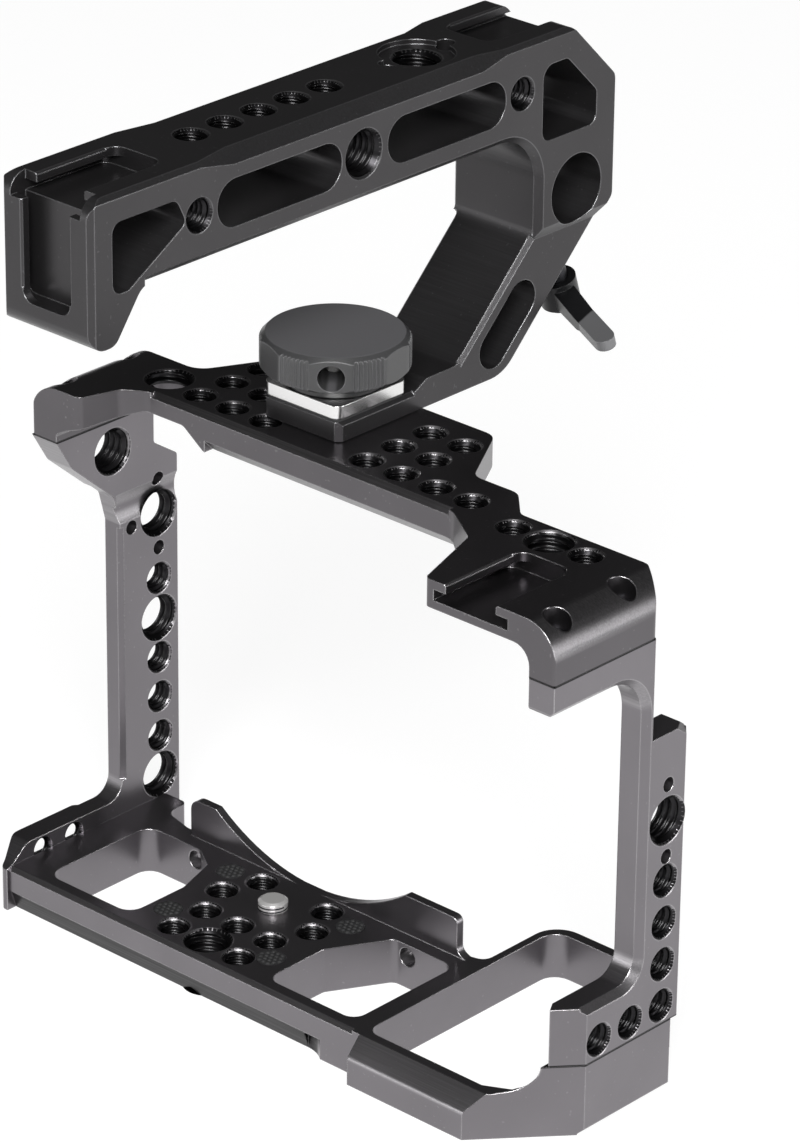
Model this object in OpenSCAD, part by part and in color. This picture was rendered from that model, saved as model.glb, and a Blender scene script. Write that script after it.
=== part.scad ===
// Camera cage with a top handle, in millimetres.
// X runs to the grip side, Y towards the lens and Z up. The origin is on the
// camera screw's axis, on the face that the camera's base rests on.

/* [Camera bay] */
// From the camera screw to the inner face of the plain side plate
bay_left = 51.55; // [46:0.5:60]
// From the camera screw to the inner face of the grip side plate
bay_right = 87.9; // [86:0.5:96]
// Height of the bay, from the base to the lowest face of the top plate's slab
bay_h = 97.1; // [94:0.5:110]

/* [Plates] */
// Thickness of the base plate
base_t = 10; // [9:0.5:14]
// Thickness of the top plate's slab
slab_t = 5.9; // [5:0.1:8]
// Thickness of the plain side plate
left_t = 4.4; // [4.2:0.1:6]
// Thickness of the grip side plate
right_t = 6.3; // [5.5:0.1:9]
// Distance between neighbouring threaded holes
pitch = 9.2; // [8.6:0.1:9.4]

/* [Threads and rod] */
// Wall radius of a 1/4 inch threaded hole
quarter_r = 3.2; // [3:0.05:3.3]
// Wall radius of a 3/8 inch threaded hole
three_eighths_r = 4.8; // [4.7:0.05:4.9]
// Radius of the bore that takes a 15 mm rod
rod_r = 7.6; // [7.55:0.05:7.8]

/* [Top handle] */
// Width of the grip
grip_w = 24; // [23:0.5:28]
// Width of the leg and the foot
leg_w = 21; // [20.5:0.5:23]
// Height of the handle above the top plate
handle_h = 70.65; // [68:0.5:84]
// Reach of the grip behind the clamp knob
handle_back = 78.7; // [76:0.5:86]
// Reach of the handle in front of the clamp knob
handle_front = 69.3; // [68.5:0.5:74]
// Thickness of the grip
grip_h = 20.05; // [19:0.25:22]

/* [Knob and lever] */
// Radius of the clamp knob
knob_r = 15.2; // [14:0.1:16]
// Thickness of the clamp knob's head
knob_h = 7.3; // [6.5:0.1:9]
// Side of the square clamp washer
washer_w = 20.6; // [20:0.1:20.9]
// Reach of the rod clamp's lever
lever_reach = 24; // [20:0.5:30]

/* [Hidden] */
$fn = 48;

// One overrun for every cut that leaves a solid
over = 1;
// Radial clearance of a shaft that turns in its hole
run_gap = 0.06;
// Gap between two faces that move past each other
face_gap = 0.2;
// Flare of a threaded hole's mouth
mouth = 0.45;
anodised = [0.16, 0.16, 0.17];
steel = [0.8, 0.8, 0.8];
rubber = [0.05, 0.05, 0.05];

// Outer faces and seams of the frame
left_x = -bay_left;
right_x = bay_right;
left_outer = left_x - left_t;
right_outer = right_x + right_t;
crown_z = bay_h + slab_t;
seam_drop = 12;
seam_z = crown_z - seam_drop;
// Rear edge of the base plate and the front faces of its lip and battery loop
base_rear = -25.4;
lip_front = 12.6;
loop_front = 35;
// The grip side's raised block on the base plate
block_h = 5.5;
block_rear = -11;
block_front = 17.2;
corner_rise = block_rear - base_rear;
corner_share = 0.885;
corner_run = corner_rise * corner_share;

// A corner that is rounded to radius r, as points from its start to its end
function unit(v) = v / norm(v);
function round_corner(a, b, c, r) =
    let (u = unit(a - b), v = unit(c - b), half = acos(max(-1, min(1, u * v))) / 2)
    let (mid = b + unit(u + v) * r / sin(half), s = b + u * r / tan(half) - mid)
    let (e = b + v * r / tan(half) - mid, from = atan2(s.y, s.x), turn = atan2(e.y, e.x) - from)
    let (sweep = turn > 180 ? turn - 360 : turn < -180 ? turn + 360 : turn)
    let (steps = max(3, ceil(abs(sweep) / 15), ceil(abs(sweep) * r / 60)))
    [for (i = [0 : steps]) mid + r * [cos(from + sweep * i / steps), sin(from + sweep * i / steps)]];

// An outline from corners [x, y, radius]
function outline(c) = [for (i = [0 : len(c) - 1])
    let (n = len(c), a = c[(i + n - 1) % n], b = c[i], d = c[(i + 1) % n])
    each b[2] > 0 ? round_corner([a.x, a.y], [b.x, b.y], [d.x, d.y], b[2]) : [[b.x, b.y]]];

// A slot's outline with round ends of radius r about a and b
nearly_round_share = 0.998;
function slot(a, b, r) = let (d = unit(b - a) * r, n = [-d.y, d.x])
    [for (q = [a - d + n, a - d - n, b + d - n, b + d + n]) [q.x, q.y, r * nearly_round_share]];

// A plate of the given outline between two heights
module slab(corners, low, high) {
    translate([0, 0, low]) linear_extrude(high - low) polygon(outline(corners));
}

// An outline in Y and Z, drawn as a solid between two X places
module along_x(corners, low, high) {
    translate([low, 0, 0]) rotate([90, 0, 90]) linear_extrude(high - low) polygon(outline(corners));
}

// An outline in X and Z, drawn as a solid between two Y places
module along_y(corners, low, high) {
    translate([0, high, 0]) rotate([90, 0, 0]) linear_extrude(high - low) polygon(outline(corners));
}

// A round cut along Z that opens at its mouth, with its mouth at the origin
module tapped(r, depth) {
    translate([0, 0, -depth]) cylinder(r = r, h = depth + over);
    translate([0, 0, -mouth]) cylinder(r1 = r, r2 = r + mouth + over, h = mouth + over);
}

// Turns a cut along Z so that its mouth faces +X or -Y
module facing_x() { rotate([0, 90, 0]) children(); }
module facing_rear() { rotate([90, 0, 0]) children(); }

// A bevel of leg c along an edge from a to b, in any direction
module bevel(a, b, c) {
    d = b - a;
    translate(a) rotate([0, acos(d.z / norm(d)), atan2(d.y, d.x)]) cylinder(r = c, h = norm(d), $fn = 4);
}

// A socket head screw that points along -Z, with its head's seat at the origin
screw_head_r = 2.75;
screw_head_h = 3;
screw_shank_r = 1.5;
screw_reach = 9;
screw_socket_r = 1.45;
screw_socket_h = 1.6;
screw_end_gap = 0.3;
module cap_screw(reach) {
    difference() {
        union() {
            cylinder(r = screw_head_r, h = screw_head_h);
            translate([0, 0, -reach]) cylinder(r = screw_shank_r, h = reach + screw_head_h / 2);
        }
        translate([0, 0, screw_head_h - screw_socket_h]) cylinder(r = screw_socket_r,
            h = screw_socket_h + over, $fn = 6);
    }
}
// The hole that such a screw sits in, with room above its head
module screw_pocket(reach, above) {
    translate([0, 0, -reach - screw_end_gap]) cylinder(r = screw_shank_r + run_gap, h = reach + over);
    cylinder(r = screw_head_r + run_gap, h = above);
}

// Corner rounds shared by the outlines
round_thin = 0.6;
round_fine = 1;
round_small = 1.5;
round_low = 2;
round_mid = 2.5;
round_wide = 3;
round_broad = 3.5;
round_large = 4;
round_heavy = 4.5;
round_great = 5;
round_full = 6;
round_leg = 9;
grip_corner_r = 10.7;

// Places of the frame's eight screws
right_outer_inset_1 = 4.5;
top_right_screw_x = right_outer - right_outer_inset_1;
left_outer_outset_1 = 1.5;
top_left_screw_x = left_outer + left_outer_outset_1;
seam_z_outset_1 = 4.5;
top_seat_z = seam_z + seam_z_outset_1;
top_right_screw_y = [-17.6, 0.7];
top_left_screw_y = [-4.6, 13];
right_outer_inset_2 = 3.7;
base_right_screw_x = right_outer - right_outer_inset_2;
base_right_screw_y = [-2.7, 6.5];
base_t_outset_1 = 4;
base_right_seat_z = -base_t + base_t_outset_1;
base_right_seat_z_outset_1 = 2.2;
base_right_reach = block_h - base_right_seat_z + base_right_seat_z_outset_1;
base_left_screw_y = [-11, 12];
base_left_screw_z = -6.2;
base_left_seat_x = left_outer + screw_head_h;
base_left_reach = 7.5;

// Base plate
base_window_r = 3.5;
window_rear = -22;
window_front = 7.5;
left_window = [-43.5, -19.3];
mid_window = [19.5, 43.5];
bay_window_left = 48;
bay_right_inset_1 = 1.2;
bay_window_right = bay_right - bay_right_inset_1;
bay_window_rear = -23.3;
bay_window_front = 32.7;
lip_h = 8.8;
lip_t = 1.9;
lip_left = -34.1;
lip_right = 41;
lens_r = 45;
lens_z = 44.9;
loop_left = 46.2;
loop_right = 74.5;
loop_wall = 4.6;
notch_left = -45;
notch_front = 20.5;
tread_left = 48;
tread_out = 3.5;
tread_drop = 4;
groove_h = 4.4;
groove_d = 1.8;
groove_lip = 0.4;
groove_end = 32.5;
groove_run = 7.5;
pair_x = 12.8;
pair_y = -1.8;
front_row_y = 6.35;
mid_row_y = -10.4;
tripod_y = -19;
window_screw_r = 2.1;
window_screw_z = -2.9;
window_screw_x = [-29.5, 30.5];

// Lowest and rearmost point of the slanted corner on the grip side
corner_x = right_outer - corner_run;
corner_y = base_rear;

block_front_inset_1 = 3;
lip_front_outset_1 = 1;
lip_right_outset_1 = 1;
notch_left_outset_1 = 8;
lip_front_outset_2 = 2;
module base_outline(low, high) {
    slab([[left_x, base_rear, 0], [corner_x, base_rear, 0], [right_outer, block_rear, 0],
        [right_outer, block_front - block_front_inset_1, round_fine], [loop_right, loop_front,
            round_full], [loop_left, loop_front, round_full],
        [loop_left, lip_front + lip_front_outset_1, round_mid], [lip_right + lip_right_outset_1,
            lip_front, round_fine], [notch_left + notch_left_outset_1, lip_front, round_low],
        [notch_left, lip_front + lip_front_outset_2, round_wide], [notch_left, notch_front, round_small],
            [left_x, notch_front, 0]], low, high);
}

lip_right_outset_2 = 4;
module base_lip() {
    difference() {
        along_y([[lip_left, -base_t / 2, 0], [lip_left, lip_h, round_mid],
            [lip_right, lip_h, round_small], [lip_right, 1, round_low],
                [lip_right + lip_right_outset_2, -0.5, 0], [lip_right + lip_right_outset_2, -base_t / 2,
                    0]],
            lip_front - lip_t, lip_front);
        translate([0, lip_front + over, lens_z]) facing_rear() cylinder(r = lens_r, h = lip_t + over * 2,
            $fn = 96);
    }
}

// The slanted cut across the grip side's rear corner, run out past both ends
module corner_cut(high) {
    run = [corner_run, corner_rise] * 2;
    slab([[corner_x - run.x, corner_y - run.y, 0], [right_outer + run.x, block_rear + run.y, 0],
        [right_outer + run.x, corner_y - run.y, 0]], -base_t - over, high);
}

// The wider tread at the rear of the grip side
module base_tread() {
    difference() {
        along_x([[base_rear + over, 0, 0], [base_rear, 0, 0], [base_rear - tread_out, -tread_drop,
            round_small],
            [base_rear - tread_out, -base_t, 0], [base_rear + over, -base_t, 0]], tread_left, right_outer);
        corner_cut(over);
    }
}

right_x_inset_1 = 6;
block_rear_inset_1 = 3;
right_x_inset_2 = 5;
block_h_outset_1 = 0.2;
window_front_inset_1 = 14;
left_window_1_inset_1 = 3.2;
window_front_inset_2 = 3.8;
left_window_1_inset_2 = 9;
mid_window_0_outset_1 = 7.5;
window_front_inset_3 = 13;
corner_x_inset_1 = 3;
block_rear_inset_2 = 8;
block_front_inset_2 = 6;
tread_left_inset_1 = 2;
module base_plate() color(anodised) difference() {
    union() {
        base_outline(-base_t, 0);
        base_lip();
        base_tread();
        // The block that carries the grip side plate, with its rounded beak
        difference() {
            slab([[right_x - right_x_inset_1, base_rear, 0], [right_outer, base_rear, 0],
                [right_outer, block_front - block_front_inset_1, 0],
                [right_x, block_front - block_front_inset_1, 0], [right_x,
                    block_rear - block_rear_inset_1, 0]], -over, block_h);
            corner_cut(block_h + over);
            translate([right_x - right_x_inset_2, block_front, block_h + block_h_outset_1]) facing_rear()
                cylinder(r = block_h, h = block_front - corner_y + over);
        }
    }
    // Three windows
    slab([[left_window[0], window_rear, base_window_r], [left_window[1], window_rear, base_window_r],
        [left_window[1], window_front - window_front_inset_1, round_low],
            [left_window[1] - left_window_1_inset_1, window_front - window_front_inset_2, round_small],
        [left_window[1] - left_window_1_inset_2, window_front, round_low],
        [left_window[0], window_front, base_window_r]], -base_t - over, over);
    slab([[mid_window[0], window_rear, round_wide], [mid_window[1], window_rear, round_wide],
        [mid_window[1], window_front, round_wide],
        [mid_window[0] + mid_window_0_outset_1, window_front, round_low],
            [mid_window[0], window_front - window_front_inset_3, round_low]], -base_t - over, over);
    slab([[bay_window_left, bay_window_rear, round_wide], [corner_x - corner_x_inset_1, bay_window_rear,
        round_fine],
        [bay_window_right, block_rear - block_rear_inset_2, round_wide],
            [bay_window_right, block_front - block_front_inset_2, round_large],
        [loop_right - loop_wall, bay_window_front, round_large],
        [bay_window_left, bay_window_front, round_large]], -base_t - over, block_h + over);
    // Threaded holes in the bed
    for (x = [-pitch, 0, pitch], y = [front_row_y, mid_row_y, mid_row_y - pitch])
        if (x != 0 || y == mid_row_y) translate([x, y, 0]) tapped(quarter_r, base_t + over);
    for (x = [-pair_x, pair_x]) translate([x, pair_y, 0]) tapped(quarter_r, base_t + over);
    translate([0, tripod_y, 0]) tapped(three_eighths_r, base_t + over);
    for (x = window_screw_x) translate([x, window_front, window_screw_z]) facing_rear()
        translate([0, 0, -lip_front]) cylinder(r = window_screw_r, h = lip_front + over);
    // Way of the camera screw
    translate([0, 0, -base_t - over]) cylinder(r = camera_screw_r + run_gap, h = base_t + over * 2);
    translate([0, 0, -base_t - over]) cylinder(r = camera_head_r + run_gap, h = camera_recess_h + over);
    // Pockets of the four pads
    for (p = pad_places) translate([p.x, p.y, -pad_sunk]) cylinder(r = pad_r, h = pad_sunk + over);
    // Quick release groove under the rear edge, with the cutter's round end
    along_x([[base_rear - over, -base_t - over, 0], [base_rear + groove_d, -base_t - over, 0],
        [base_rear + groove_d, -base_t, 0], [base_rear + groove_lip, groove_h - base_t, 0],
        [base_rear - over, groove_h - base_t, 0]], left_x - over, groove_end);
    intersection() {
        translate([groove_end, base_rear - groove_run + groove_d, -base_t - over])
            cylinder(r = groove_run, h = groove_h + over);
        translate([groove_end, base_rear - over, -base_t - over]) cube([groove_run, groove_run,
            groove_h + over]);
    }
    // Bevels of the rear edge and of the grip side's foot
    bevel([left_x, base_rear, 0], [tread_left - tread_left_inset_1, base_rear, 0], 0.9);
    bevel([right_outer, block_rear - over, -base_t], [right_outer, block_front + over, -base_t], 1.2);
    // Screws to the two side plates
    for (y = base_right_screw_y) translate([base_right_screw_x, y, base_right_seat_z]) mirror([0, 0, 1])
        screw_pocket(base_right_reach, base_t);
    for (y = base_left_screw_y) translate([base_left_seat_x, y, base_left_screw_z])
        facing_x() mirror([0, 0, 1])
        screw_pocket(base_left_reach, over);
}

// Plain side plate
left_front = 24.7;
left_rear = 8;
left_hole_y = 19.2;
left_hole_z = 5.1;
left_wing_z = 3.7;
wing_out = 0.8;
wing_front = -1;
left_top_front = 18;
left_top_rear = -9.7;
left_top_hole = [6.2, 84.1];
left_pin_hole = [11.3, 65.3];
pin_hole_r = 1.55;
pin_step = 7.8;
left_x_inset_1 = 7.1;
top_left_outer = left_x - left_x_inset_1;
cross_hole_y = [-15.5, -6.5];
cross_wall = 1.8;
cross_hole_z = 0.6;
cross_hole_r = 2.2;
scoop_z = 70.5;
scoop_h = 7;
scoop_d = 0.9;
left_arri_z = 66;

left_rear_inset_1 = 4;
seam_z_inset_1 = 13;
seam_z_inset_2 = 8.6;
left_top_rear_outset_1 = 4.2;
seam_z_inset_3 = 7;
seam_z_inset_4 = 17.2;
seam_z_inset_5 = 24;
left_rear_inset_2 = 8;
base_rear_inset_1 = 0.6;
base_rear_outset_1 = 5.4;
base_rear_outset_2 = 1.4;
left_x_inset_2 = 1.6;
base_rear_outset_3 = 6.5;
wing_front_inset_1 = 1;
seam_z_inset_6 = 16.2;
cross_hole_y_0_inset_1 = 3;
cross_hole_z_inset_1 = 3.8;
cross_hole_y_1_outset_1 = 6;
cross_hole_z_outset_1 = 2.2;
left_wing_z_outset_1 = 4;
seam_z_inset_7 = 25;
module left_side_plate() color(anodised) difference() {
    union() {
        along_x([[left_rear - left_rear_inset_1, -base_t, 0], [left_front, -base_t, 0],
            [left_front, seam_z - seam_z_inset_1, round_fine],
            [left_top_front, seam_z - seam_z_inset_2, round_fine], [left_top_front, seam_z, 0],
                [left_top_rear, seam_z, 0],
            [left_top_rear + left_top_rear_outset_1, seam_z - seam_z_inset_3, round_wide],
                [6.2, seam_z - seam_z_inset_4, round_low], [left_rear, seam_z - seam_z_inset_5, round_low],
            [left_rear, left_wing_z, round_heavy], [left_rear - left_rear_inset_2, left_wing_z, 0],
                [left_rear - left_rear_inset_2, -base_t, 0]],
            left_outer, left_x);
        // The wing beside the bed, rounded at its rear end
        intersection() {
            along_x([[base_rear - base_rear_inset_1, -base_t, 0], [left_rear, -base_t, 0],
                [left_rear, left_wing_z, 0],
                [base_rear + base_rear_outset_1, left_wing_z, round_wide],
                    [base_rear + base_rear_outset_2, 0.3, round_wide], [base_rear - base_rear_inset_1,
                        -0.5, round_thin]],
                left_outer - wing_out, left_x);
            slab([[left_x, base_rear - base_rear_inset_1, 0], [left_x - left_x_inset_2,
                base_rear - base_rear_inset_1, round_small],
                [left_outer - wing_out, base_rear + base_rear_outset_3, round_great],
                    [left_outer - wing_out, wing_front - wing_front_inset_1, round_fine],
                [left_outer, wing_front, 0], [left_outer, left_rear, 0], [left_x, left_rear, 0]],
                -base_t - over, left_wing_z + over);
        }
        // Thicker head under the top plate
        along_x([[left_top_front, seam_z, 0], [left_top_rear, seam_z, 0],
            [left_top_rear + left_top_rear_outset_1, seam_z - seam_z_inset_3, round_wide],
                [5.2, seam_z - seam_z_inset_6, round_low], [left_top_front, seam_z - seam_z_inset_6,
                    round_fine]],
            top_left_outer, left_x);
    }
    // Pocket behind the two cross holes
    along_x([[cross_hole_y[0] - cross_hole_y_0_inset_1, cross_hole_z - cross_hole_z_inset_1, round_low],
        [cross_hole_y[1] + cross_hole_y_1_outset_1, cross_hole_z - cross_hole_z_inset_1, round_low],
        [cross_hole_y[1] + cross_hole_y_1_outset_1, cross_hole_z + cross_hole_z_outset_1, round_fine],
            [cross_hole_y[0] - cross_hole_y_0_inset_1, cross_hole_z + cross_hole_z_outset_1, round_low]],
        left_outer - wing_out - over, left_x - cross_wall);
    for (i = [1, 2, 3, round_great]) translate([left_x, left_hole_y, left_hole_z + i * pitch]) facing_x()
        tapped(quarter_r, left_t + over);
    for (z = [left_hole_z, left_hole_z + 4 * pitch, left_arri_z]) translate([left_x, left_hole_y,
        z]) facing_x()
        tapped(three_eighths_r, left_t + over);
    translate([left_x, left_top_hole[0], left_top_hole[1]]) facing_x() tapped(three_eighths_r, left_t * 2);
    // Pin holes beside the locating hole
    for (p = [[left_hole_y, left_arri_z - pin_step], [left_hole_y, left_arri_z + pin_step], left_pin_hole])
        translate([left_x, p[0], p[1]]) facing_x() translate([0, 0, -left_t + over])
            cylinder(r = pin_hole_r, h = left_t);
    for (y = cross_hole_y) translate([left_x, y, cross_hole_z]) facing_x()
        tapped(cross_hole_r, left_t + over);
    // Shallow scoop across the inner face
    translate([left_x + scoop_h - scoop_d, left_rear - over, scoop_z]) rotate([-90, 0, 0])
        cylinder(r = scoop_h, h = left_front);
    for (y = base_left_screw_y) translate([base_left_seat_x, y, base_left_screw_z])
        facing_x() mirror([0, 0, 1])
        screw_pocket(base_left_reach, left_t);
    for (y = top_left_screw_y) translate([top_left_screw_x, y, top_seat_z]) screw_pocket(screw_reach, over);
    bevel([left_x, left_rear, left_wing_z + left_wing_z_outset_1], [left_x, left_rear,
        seam_z - seam_z_inset_7], 1);
}

// Grip side plate
right_front = block_front;
right_rear = 4;
right_neck = 10.4;
right_head_rear = -23;
right_hole_y = 11.1;
right_hole_z = 9.7;
right_block_z = 18;
right_arri_z = 50.4;
right_shelf_z = 68.4;
neck_bevel = [right_t, 4.5];
right_head_z = 84.2;

right_edge = 1.5;
right_low_r = 5;
right_high_r = 9;

// A bevel round a concave corner of radius r in a plane across X
module corner_bevel(centre, r, start) {
    translate(centre) rotate([90, 0, 90]) rotate([0, 0, start])
        rotate_extrude(angle = 90) translate([r, 0]) circle(r = right_edge, $fn = 4);
}

right_shelf_z_outset_1 = 5;
right_x_outset_1 = 1.8;
block_rear_inset_3 = 6;
right_shelf_z_outset_2 = 1;
module right_side_plate() color(anodised) difference() {
    union() {
        along_x([[block_rear, block_h, 0], [right_front, block_h, 0], [right_front, right_shelf_z,
            round_small],
            [right_neck, right_shelf_z + right_shelf_z_outset_1, round_mid], [right_neck, seam_z, 0],
                [right_head_rear, seam_z, 0],
            [right_head_rear, right_head_z, round_fine], [right_rear, right_head_z, right_high_r],
            [right_rear, right_block_z, right_low_r],
            [block_rear, right_block_z, 0]], right_x, right_outer);
        // The block's slanted rear corner
        difference() {
            slab([[right_x, block_rear - block_rear_inset_1, 0], [right_x + right_x_outset_1,
                block_rear - block_rear_inset_3, 0], [right_outer, block_rear - block_rear_inset_3, 0],
                [right_outer, block_rear + over, 0], [right_x, block_rear + over, 0]], block_h,
                    right_block_z);
            corner_cut(right_block_z + over);
        }
    }
    for (i = [0 : 3]) translate([right_outer, right_hole_y, right_hole_z + i * pitch]) facing_x()
        tapped(quarter_r, right_t + over);
    for (i = [1, 2]) translate([right_outer, right_hole_y - i * pitch, right_hole_z]) facing_x()
        tapped(quarter_r, right_t + over);
    translate([right_outer, right_hole_y, right_arri_z]) facing_x() tapped(three_eighths_r, right_t + over);
    for (s = [-1, 1]) translate([right_outer, right_hole_y, right_arri_z + s * pin_step]) facing_x()
        translate([0, 0, -right_t / 2]) cylinder(r = pin_hole_r, h = right_t);
    // Slanted front corner of the neck
    slab([[right_x, right_neck, 0], [right_x + neck_bevel.x * 2, right_neck - neck_bevel.y * 2, 0],
        [right_x + neck_bevel.x * 2, right_front, 0], [right_x, right_front, 0]],
            right_shelf_z + right_shelf_z_outset_2, seam_z + over);
    // Bevels along the outer rear edges and round their two inner corners
    bevel([right_outer, right_rear, right_block_z + right_low_r], [right_outer, right_rear,
        right_head_z - right_high_r], right_edge);
    bevel([right_outer, block_rear - over, right_block_z], [right_outer, right_rear - right_low_r,
        right_block_z], right_edge);
    bevel([right_outer, right_head_rear - over, right_head_z], [right_outer, right_rear - right_high_r,
        right_head_z], right_edge);
    corner_bevel([right_outer, right_rear - right_low_r, right_block_z + right_low_r], right_low_r, -90);
    corner_bevel([right_outer, right_rear - right_high_r, right_head_z - right_high_r], right_high_r, 0);
    bevel([right_outer, right_front, block_h - over], [right_outer, right_front, right_shelf_z + over],
        1.2);
    bevel([right_outer, right_front, right_shelf_z], [right_outer, right_neck,
        right_shelf_z + right_shelf_z_outset_1], 1.6);
    for (y = base_right_screw_y) translate([base_right_screw_x, y, base_right_seat_z]) mirror([0, 0, 1])
        screw_pocket(base_right_reach, over);
    for (y = top_right_screw_y) translate([top_right_screw_x, y, top_seat_z])
        screw_pocket(screw_reach, over);
}

// Top plate
top_rear = 2.4;
top_shoulder = 7.5;
top_rear_bevel = 1.2;
rib_drop = 2.8;
rib_left = -21.5;
ledge_h = 3.4;
shoe_lip_t = 1.9;
shoe_slot_h = 2.2;
shoe_open_w = 12.6;
shoe_slot_w = 18.6;
shoe_x = 73.1;
shoe_rear = -23.07;
shoe_front = -1.5;
tongue_front = 34.7;
top_row_y = 8.5;
right_field_x = 17.3;
left_field_x = -19.3;
top_left_hole = [-38.8, 10];
cluster_x = 67.9;
cluster_y = 5.1;

left_x_outset_1 = 6.7;
left_x_outset_2 = 9.5;
top_rear_inset_1 = 3;
left_x_outset_3 = 14;
module top_outline(low, high) {
    slab([[top_left_outer, left_top_rear, round_fine], [left_x + left_x_outset_1, left_top_rear,
        round_small], [left_x + left_x_outset_2, top_rear - top_rear_inset_1, round_wide],
        [left_x + left_x_outset_3, top_rear, round_large], [45.5, top_rear, round_great],
            [55.5, -4.2, round_wide], [61.7, shoe_rear, round_small],
        [right_outer, shoe_rear, round_thin], [right_outer, right_neck - neck_bevel.y, round_low],
            [right_x, right_neck, round_small],
        [55.8, right_neck, round_mid],
        [49, 17.4, round_large], [37.4, 17.4, round_broad], [27.4, tongue_front, round_large],
            [-29, tongue_front, round_large],
        [-38, 17.2, round_great], [top_left_outer, 17.2, round_fine]], low, high);
}

// Cold shoe slot along Y, open at low, with its upper face at the origin's height
module cold_shoe(low, high, lip = shoe_lip_t) {
    r = 2.6;
    slab([[-shoe_open_w / 2, low, 0], [-shoe_open_w / 2, high, r], [shoe_open_w / 2, high, r],
        [shoe_open_w / 2, low, 0]], -lip - shoe_slot_h, over);
    slab([[-shoe_slot_w / 2, low, 0], [-shoe_slot_w / 2, high, r], [shoe_slot_w / 2, high, r],
        [shoe_slot_w / 2, low, 0]], -lip - shoe_slot_h, -lip);
    for (s = [-1, 1]) bevel([s * shoe_open_w / 2, low, 0], [s * shoe_open_w / 2, high - r, 0], 0.4);
}

left_top_front_inset_1 = 1;
rib_left_inset_1 = 6;
bay_h_outset_1 = 1.4;
left_x_outset_4 = 3;
bay_h_inset_1 = 2.5;
seam_z_outset_2 = 2;
rib_left_inset_2 = 7;
top_rear_outset_1 = 9.5;
left_x_outset_5 = 15;
module top_plate() color(anodised) difference() {
    intersection() {
        union() {
            top_outline(seam_z, crown_z);
            // The ledge over the plain side plate
            slab([[top_left_outer, left_top_rear, round_fine], [left_x, left_top_rear, round_small],
                [left_x, left_top_front - left_top_front_inset_1, 0],
                [top_left_outer, left_top_front - left_top_front_inset_1, round_fine]], seam_z,
                    seam_z + ledge_h);
        }
        along_y([[top_left_outer, seam_z, 0], [top_left_outer, crown_z, top_shoulder],
            [right_outer, crown_z, top_shoulder], [right_outer, seam_z, 0], [right_x, seam_z, 0],
            [right_x, bay_h, round_large], [51, bay_h, round_low], [48, bay_h - rib_drop, round_low],
                [rib_left, bay_h - rib_drop, round_wide],
            [rib_left - rib_left_inset_1, bay_h + bay_h_outset_1, round_low],
                [-38, bay_h + bay_h_outset_1, round_low], [left_x + left_x_outset_4,
                    bay_h - bay_h_inset_1, round_wide], [left_x, seam_z + seam_z_outset_2, round_fine],
            [left_x, seam_z, 0]], shoe_rear - over, tongue_front + over);
    }
    // The slab in front of the rear rib is level underneath
    translate([rib_left - rib_left_inset_2, top_rear + top_rear_outset_1, seam_z - over])
        cube([57 - rib_left, tongue_front, bay_h - seam_z + over]);
    for (i = [0 : 3]) translate([right_field_x + i * pitch, top_row_y, crown_z])
        tapped(quarter_r, seam_drop);
    for (i = [0, 1], j = [1, 2]) translate([right_field_x + i * pitch, top_row_y + j * pitch, crown_z])
        tapped(quarter_r, seam_drop);
    for (i = [-1 : 1], j = [0 : 2]) if (i < 1 || j == 0)
        translate([left_field_x + i * pitch, top_row_y + j * pitch, crown_z]) tapped(quarter_r, seam_drop);
    translate([top_left_hole.x, top_left_hole.y, crown_z]) tapped(three_eighths_r, seam_drop);
    translate([cluster_x, cluster_y, crown_z]) tapped(three_eighths_r, seam_drop);
    for (s = [-1, 1]) translate([cluster_x + s * pitch, cluster_y, crown_z]) tapped(quarter_r, seam_drop);
    translate([shoe_x, 0, crown_z]) cold_shoe(shoe_rear - over, shoe_front);
    // Thread of the handle's clamp stud
    translate([handle_x, knob_y, crown_z]) translate([0, 0, -seam_drop])
        cylinder(r = stud_r + run_gap, h = seam_drop + over);
    bevel([left_x + left_x_outset_5, top_rear, crown_z], [44.5, top_rear, crown_z], top_rear_bevel);
    bevel([rib_left, top_rear, bay_h - rib_drop], [49, top_rear, bay_h - rib_drop], 2.7);
    for (y = top_right_screw_y) translate([top_right_screw_x, y, top_seat_z])
        screw_pocket(screw_reach, seam_drop);
    for (y = top_left_screw_y) translate([top_left_screw_x, y, top_seat_z])
        screw_pocket(screw_reach, seam_drop);
}

// Camera screw, its washer and the bed's four pads
camera_screw_r = 3.1;
camera_screw_up = 2.2;
camera_tip_h = 0.5;
camera_tip_r = 2.4;
camera_head_r = 6.2;
camera_head_h = 2.2;
camera_washer_h = 0.5;
camera_travel = 3.8;
camera_recess_h = camera_head_h + camera_washer_h + camera_travel;
camera_slot_w = 1.4;
camera_top = -base_t + camera_recess_h;
camera_head_z = camera_top - camera_washer_h - face_gap * 2 - camera_head_h;
camera_neck_r = 2.6;
pad_r = 3;
pad_sunk = 0.6;
pad_up = 0.3;
pad_places = [[-17, 5], [17, 5], [-15, -15.3], [14.3, -15.5]];

module camera_screw() color(steel) difference() {
    union() {
        cylinder(r = camera_screw_r, h = camera_screw_up - camera_tip_h);
        translate([0, 0, camera_screw_up - camera_tip_h]) cylinder(r1 = camera_screw_r,
            r2 = camera_tip_r, h = camera_tip_h);
        translate([0, 0, camera_head_z]) cylinder(r = camera_neck_r, h = over - camera_head_z);
        translate([0, 0, camera_head_z]) cylinder(r = camera_head_r, h = camera_head_h);
    }
    translate([-camera_head_r - over, -camera_slot_w / 2, camera_head_z - over])
        cube([(camera_head_r + over) * 2, camera_slot_w, camera_head_h / 2 + over]);
}

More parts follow.
